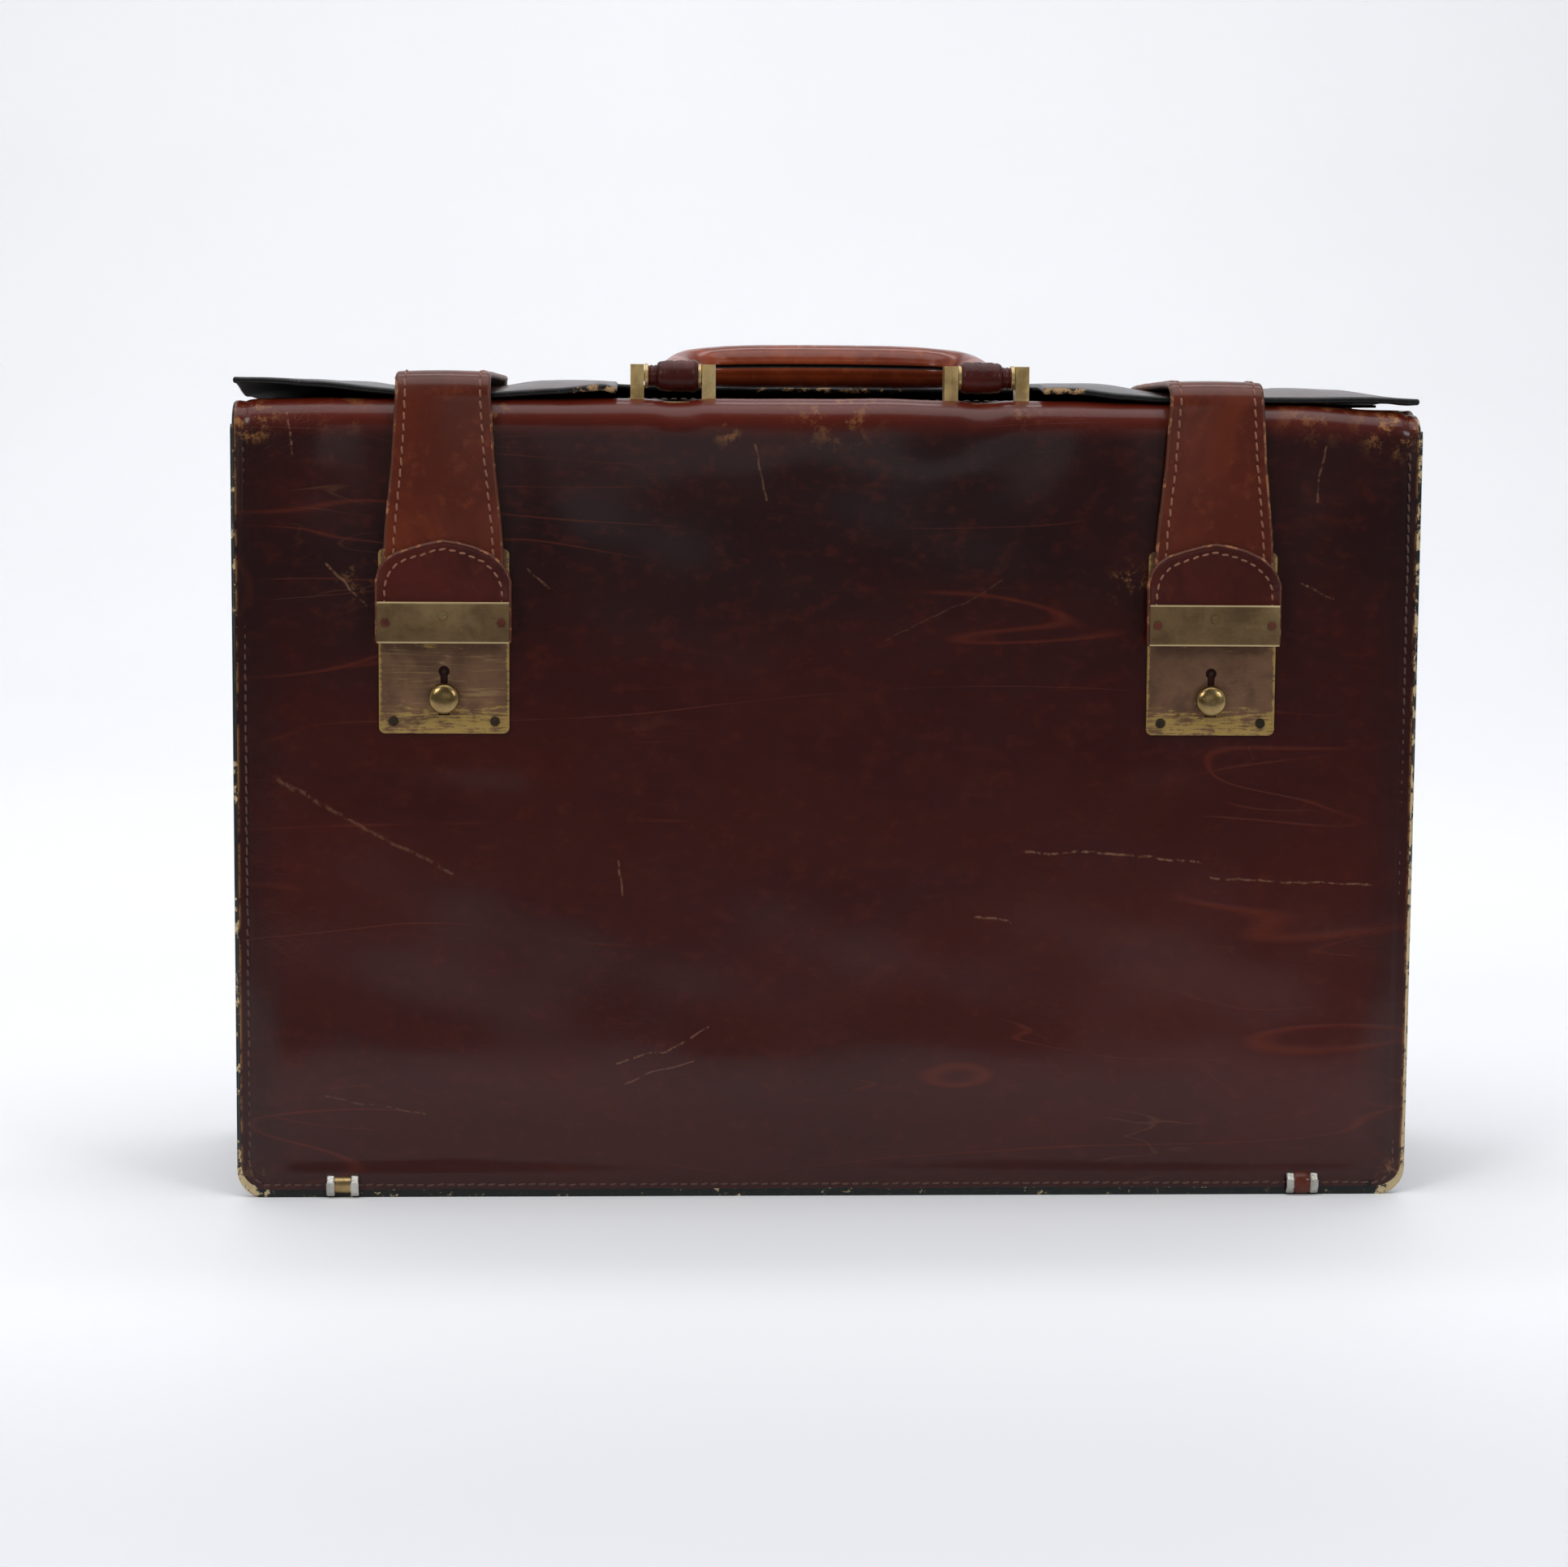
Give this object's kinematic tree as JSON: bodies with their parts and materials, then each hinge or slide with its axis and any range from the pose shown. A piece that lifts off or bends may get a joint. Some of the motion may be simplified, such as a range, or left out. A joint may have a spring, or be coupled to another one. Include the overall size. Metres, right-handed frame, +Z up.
{
  "type": "leather briefcase",
  "caption": "Flat leather briefcase with a full-width flap, folding top handle, strap-and-hasp brass locks and spool feet.",
  "frame": {"origin": "on the floor at the centre of the four feet, midway between the gussets and between the front and back panels", "axes": "+X to the right seen from the front, +Y to the back, +Z up; the locks face -Y"},
  "size_m": [0.44, 0.1416, 0.315],
  "materials": {
    "body_leather": "smooth glossy oxblood leather, worn tan at edges",
    "gusset_leather": "smooth oxblood leather",
    "strap_leather": "reddish brown bridle leather",
    "tab_leather": "dark oxblood leather",
    "handle_leather": "polished brown leather",
    "lining_cloth": "woven cotton",
    "stiff_board": "pressed board",
    "rail_wood": "plain wood",
    "copper_rivet": "coppery brass",
    "aged_brass": "aged and scratched",
    "light_brass": "worn light brass",
    "dark_brass": "tarnished",
    "nickel": "worn nickel plate",
    "steel": "plain steel"
  },
  "bodies": {
    "case": {"back_board": "stiff_board", "back_lining": "lining_cloth", "back_panel": "body_leather", "bottom_board": "stiff_board", "bottom_panel": "gusset_leather", "bracket_rivets": "dark_brass", "divider": "lining_cloth", "foot_cores": "aged_brass", "foot_rings": "nickel", "foot_wraps": "handle_leather", "front_board": "stiff_board", "front_lining": "lining_cloth", "front_panel": "body_leather", "gusset_left": "gusset_leather", "gusset_right": "gusset_leather", "handle_bracket_left": "light_brass", "handle_bracket_right": "light_brass", "handle_panel": "body_leather", "handle_pins": "light_brass", "lock_backing_left": "steel", "lock_backing_right": "steel", "lock_case_left": "steel", "lock_case_right": "steel", "lock_key_post_left": "steel", "lock_key_post_right": "steel", "lock_plate_left": "aged_brass", "lock_plate_right": "aged_brass", "lock_rivets_left": "dark_brass", "lock_rivets_right": "dark_brass", "strap_anchor_left": "strap_leather", "strap_anchor_right": "strap_leather", "top_rail": "rail_wood"},
    "flap": {"flap_board": "stiff_board", "flap_leather": "body_leather", "flap_lining": "lining_cloth", "strap_bridge_left": "strap_leather", "strap_bridge_right": "strap_leather"},
    "handle": {"handle_core": "steel", "handle_grip": "handle_leather", "handle_sleeves": "handle_leather", "handle_washers": "light_brass"},
    "strap_left": {"hasp_left": "aged_brass", "hasp_rivets_left": "copper_rivet", "strap_drop_left": "strap_leather", "strap_tab_left": "tab_leather"},
    "strap_right": {"hasp_right": "aged_brass", "hasp_rivets_right": "copper_rivet", "strap_drop_right": "strap_leather", "strap_tab_right": "tab_leather"},
    "knob_left": {"lock_bolt_left": "steel", "lock_knob_left": "aged_brass"},
    "knob_right": {"lock_bolt_right": "steel", "lock_knob_right": "aged_brass"}
  },
  "joints": [
    {"name": "flap_lift", "type": "hinge", "parent": "case", "child": "flap", "pos_m": [0, 0.065, 0.297], "axis": [-1, 0, 0], "range_deg": [0, 175]},
    {"name": "handle_swing", "type": "hinge", "parent": "case", "child": "handle", "pos_m": [0, -0.052, 0.3071], "axis": [1, 0, 0], "range_deg": [0, 205]},
    {"name": "strap_left_lift", "type": "hinge", "parent": "flap", "child": "strap_left", "pos_m": [-0.1425, -0.068, 0.3036], "axis": [-1, 0, 0], "range_deg": [0, 100]},
    {"name": "strap_right_lift", "type": "hinge", "parent": "flap", "child": "strap_right", "pos_m": [0.1425, -0.068, 0.3036], "axis": [-1, 0, 0], "range_deg": [0, 100]},
    {"name": "knob_left_slide", "type": "slide", "parent": "case", "child": "knob_left", "axis": [0, 0, -1], "range_m": [0, 0.004], "stiffness_N_per_m": 300, "springref_m": -0.002},
    {"name": "knob_right_slide", "type": "slide", "parent": "case", "child": "knob_right", "axis": [0, 0, -1], "range_m": [0, 0.004], "stiffness_N_per_m": 300, "springref_m": -0.002}
  ]
}
